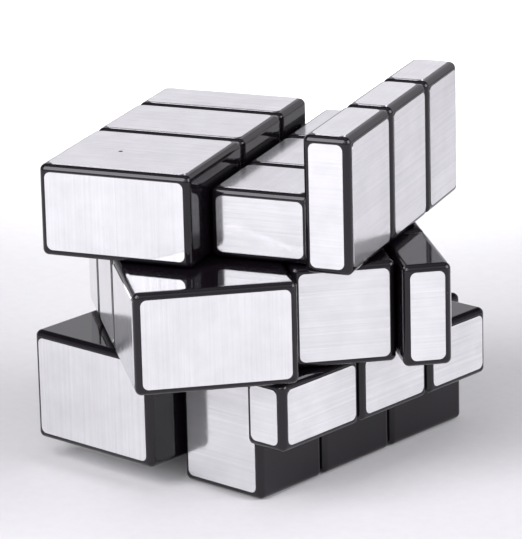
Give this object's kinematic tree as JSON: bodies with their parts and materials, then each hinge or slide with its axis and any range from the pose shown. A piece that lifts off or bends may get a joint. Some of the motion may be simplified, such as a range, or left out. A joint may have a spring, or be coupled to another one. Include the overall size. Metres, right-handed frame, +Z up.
{
  "type": "twisty puzzle cube",
  "caption": "Scrambled twisty puzzle cube of glossy black plastic with brushed silver faces, its layers of unequal thickness and its upper layers part-turned.",
  "frame": {"origin": "point where the vertical turning axis through the core meets the flat surface that the puzzle stands on", "axes": "+Z up along the turning axis of the top and middle layers, +X to the right and +Y to the back along the sides of the bottom layer, whose thinnest slab is at +X"},
  "size_m": [0.0781, 0.0823, 0.069],
  "materials": {
    "black_plastic": "glossy black ABS mouldings with rounded edges",
    "brushed_foil": "thin self-adhesive silver foil, brushed along one direction, mirror-like across it",
    "inner_plastic": "black moulded plastic, satin, unseen inside the puzzle",
    "steel": "zinc-plated steel screws, washers and springs"
  },
  "bodies": {
    "bottom_layer": {"bottom_back_edge": "black_plastic", "bottom_back_edge_foils": "brushed_foil", "bottom_back_left_corner": "black_plastic", "bottom_back_left_corner_foils": "brushed_foil", "bottom_back_right_corner": "black_plastic", "bottom_back_right_corner_foils": "brushed_foil", "bottom_centre_cap": "black_plastic", "bottom_centre_foil": "brushed_foil", "bottom_centre_hub": "inner_plastic", "bottom_front_edge": "black_plastic", "bottom_front_edge_foils": "brushed_foil", "bottom_front_left_corner": "black_plastic", "bottom_front_left_corner_foils": "brushed_foil", "bottom_front_right_corner": "black_plastic", "bottom_front_right_corner_foils": "brushed_foil", "bottom_left_edge": "black_plastic", "bottom_left_edge_foils": "brushed_foil", "bottom_right_edge": "black_plastic", "bottom_right_edge_foils": "brushed_foil"},
    "middle_layer": {"back_centre_cap": "black_plastic", "back_centre_hub": "inner_plastic", "core": "inner_plastic", "core_screws": "steel", "front_centre_cap": "black_plastic", "front_centre_hub": "inner_plastic", "left_centre_cap": "black_plastic", "left_centre_hub": "inner_plastic", "middle_back_left_edge": "black_plastic", "middle_back_left_edge_foils": "brushed_foil", "middle_back_right_edge": "black_plastic", "middle_back_right_edge_foils": "brushed_foil", "middle_front_left_edge": "black_plastic", "middle_front_left_edge_foils": "brushed_foil", "middle_front_right_edge": "black_plastic", "middle_front_right_edge_foils": "brushed_foil", "right_centre_cap": "black_plastic", "right_centre_hub": "inner_plastic", "side_centre_foils": "brushed_foil", "spring_washers": "steel", "tension_springs": "steel"},
    "top_layer": {"top_back_edge": "black_plastic", "top_back_edge_foils": "brushed_foil", "top_back_left_corner": "black_plastic", "top_back_left_corner_foils": "brushed_foil", "top_back_right_corner": "black_plastic", "top_back_right_corner_foils": "brushed_foil", "top_centre_cap": "black_plastic", "top_centre_foil": "brushed_foil", "top_centre_hub": "inner_plastic", "top_front_edge": "black_plastic", "top_front_edge_foils": "brushed_foil", "top_front_left_corner": "black_plastic", "top_front_left_corner_foils": "brushed_foil", "top_front_right_corner": "black_plastic", "top_front_right_corner_foils": "brushed_foil", "top_left_edge": "black_plastic", "top_left_edge_foils": "brushed_foil", "top_right_edge": "black_plastic", "top_right_edge_foils": "brushed_foil"}
  },
  "joints": [
    {"name": "middle_turn", "type": "hinge", "parent": "bottom_layer", "child": "middle_layer", "pos_m": [0, 0, 0.0345], "axis": [0, 0, 1], "continuous": true},
    {"name": "top_turn", "type": "hinge", "parent": "middle_layer", "child": "top_layer", "pos_m": [0, 0, 0.0345], "axis": [0, 0, 1], "continuous": true}
  ]
}
